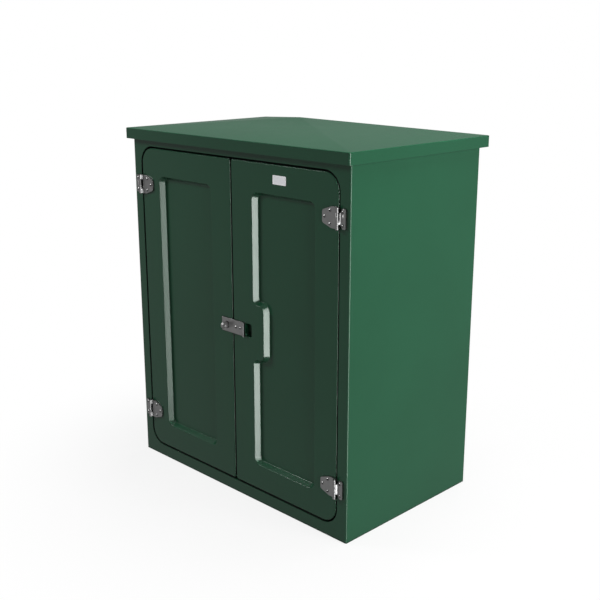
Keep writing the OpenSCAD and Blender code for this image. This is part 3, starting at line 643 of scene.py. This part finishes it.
# %% Define a soft box
def softbox(name, place, aim, width, height, watts):
    """An area light of a size in metres, turned to face a point."""
    bpy.ops.object.select_all(action="DESELECT")
    bpy.ops.object.light_add(type="AREA", location=place)
    lamp = bpy.context.object
    lamp.name = name
    lamp.rotation_euler = (Vector(aim) - Vector(place)).to_track_quat("-Z", "Y").to_euler()
    lamp.data.shape = "RECTANGLE"
    lamp.data.size = width
    lamp.data.size_y = height
    lamp.data.energy = watts
    lamp.visible_camera = False
    return lamp


print("soft box ready")

# %% Hang the lamps that give light
MIDDLE = (0.0, 0.0, 0.6)
FRONT_EDGE = (0.2, -0.2)
STRIP_WIDTH = 0.85
STRIP_LEVEL = 1.0

side_softbox = softbox("side_softbox", place=(3.0, 0.35, 1.3), aim=(0.5, 0.0, 0.6),
                       width=1.2, height=1.8, watts=59.0)
top_softbox = softbox("top_softbox", place=(0.5, 0.4, 3.6), aim=MIDDLE, width=1.8, height=1.8, watts=92.0)
back_softbox = softbox("back_softbox", place=(-0.9, 3.4, 0.9), aim=MIDDLE, width=1.8, height=1.6, watts=46.0)
edge_fill = softbox("edge_fill", place=(2.8, -0.94, STRIP_LEVEL), aim=(*FRONT_EDGE, STRIP_LEVEL),
                    width=STRIP_WIDTH, height=1.9, watts=15.0)
key_lamp = softbox("key_lamp", place=(-3.0, -2.5, 2.95), aim=MIDDLE, width=1.0, height=1.0, watts=64.0)
LIGHT_GIVERS = (side_softbox, top_softbox, back_softbox, edge_fill, key_lamp)
for lamp in LIGHT_GIVERS:
    lamp.visible_glossy = False
print("lamps that give light:", [lamp.name for lamp in LIGHT_GIVERS])

# %% Hang the strips and glints
LOW_STRIP_LEVEL = -0.025
LOW_STRIP_HEIGHT = 2.35

door_strip = softbox("door_strip", place=(2.5, -0.85, STRIP_LEVEL), aim=(*FRONT_EDGE, STRIP_LEVEL),
                     width=STRIP_WIDTH, height=4.4, watts=150.0)
corner_strip = softbox("corner_strip", place=(2.6, -0.88, LOW_STRIP_LEVEL),
                       aim=(*FRONT_EDGE, LOW_STRIP_LEVEL),
                       width=STRIP_WIDTH, height=LOW_STRIP_HEIGHT, watts=62.0)
steel_strip = softbox("steel_strip", place=(2.7, -0.91, LOW_STRIP_LEVEL),
                      aim=(*FRONT_EDGE, LOW_STRIP_LEVEL),
                      width=STRIP_WIDTH, height=LOW_STRIP_HEIGHT, watts=34.0)
key_glint = softbox("key_glint", place=(-3.1, -2.58, 4.3), aim=MIDDLE, width=1.0, height=1.0, watts=80.0)
bolt_glint = softbox("bolt_glint", place=(-3.6, -2.2, 3.4), aim=MIDDLE, width=3.6, height=3.6, watts=500.0)
DOORS = ("left_door", "right_door")
SHELLS = ("body_shell", "roof")
MIRRORED_IN = {
    door_strip: DOORS,
    corner_strip: SHELLS,
    steel_strip: [name for name in nodes if name not in DOORS + SHELLS],
    key_glint: [name for name in nodes if name != "roof"],
    bolt_glint: [name for name in nodes if name.endswith("bolts")],
}
for lamp, pieces in MIRRORED_IN.items():
    lamp.visible_diffuse = False
    lamp.light_linking.receiver_collection = bpy.data.collections.new(lamp.name + "_pieces")
    for name in pieces:
        lamp.light_linking.receiver_collection.objects.link(nodes[name])
print("strips and glints:", {lamp.name: len(pieces) for lamp, pieces in MIRRORED_IN.items()})

# %% [markdown]
# ## World
# The world is white where the camera sees it, grey in reflections and almost dark as a light.
# A picture of a studio could do this too, but a few nodes on Light Path need no file and keep the levels
# apart. In reflections the grey is paler below the horizon, as over a floor, and high up, as under a ceiling.

# %% Set up the world
FLOOR_GREY = 0.35
WALL_GREY = 0.23
CEILING_EXTRA = 0.2
FILL_LIGHT = 0.045

world = bpy.data.worlds.new("studio")
bpy.context.scene.world = world
world.use_nodes = True
sky = world.node_tree
direction = add_node(sky, "ShaderNodeTexCoord", {}).outputs["Generated"]
rise = add_node(sky, "ShaderNodeSeparateXYZ", {"Vector": direction}).outputs["Z"]
horizon = range_node(sky, rise, start=-0.1, end=0.1, low=FLOOR_GREY, high=WALL_GREY)
ceiling = range_node(sky, rise, start=0.45, end=0.7, low=0.0, high=CEILING_EXTRA)
rays = add_node(sky, "ShaderNodeLightPath", {}).outputs
mirrored = math_node(sky, "MULTIPLY", rays["Is Glossy Ray"], math_node(sky, "ADD", horizon, ceiling))
direct = math_node(sky, "MAXIMUM", rays["Is Camera Ray"], rays["Is Transmission Ray"])
level = math_node(sky, "MAXIMUM", math_node(sky, "MAXIMUM", direct, mirrored), FILL_LIGHT)
backdrop = sky.nodes["Background"]
backdrop.inputs["Color"].default_value = (*WHITE, 1.0)
connect(sky, backdrop.inputs["Strength"], level)
bpy.context.scene.view_settings.view_transform = "Standard"
print("world:", world.name)
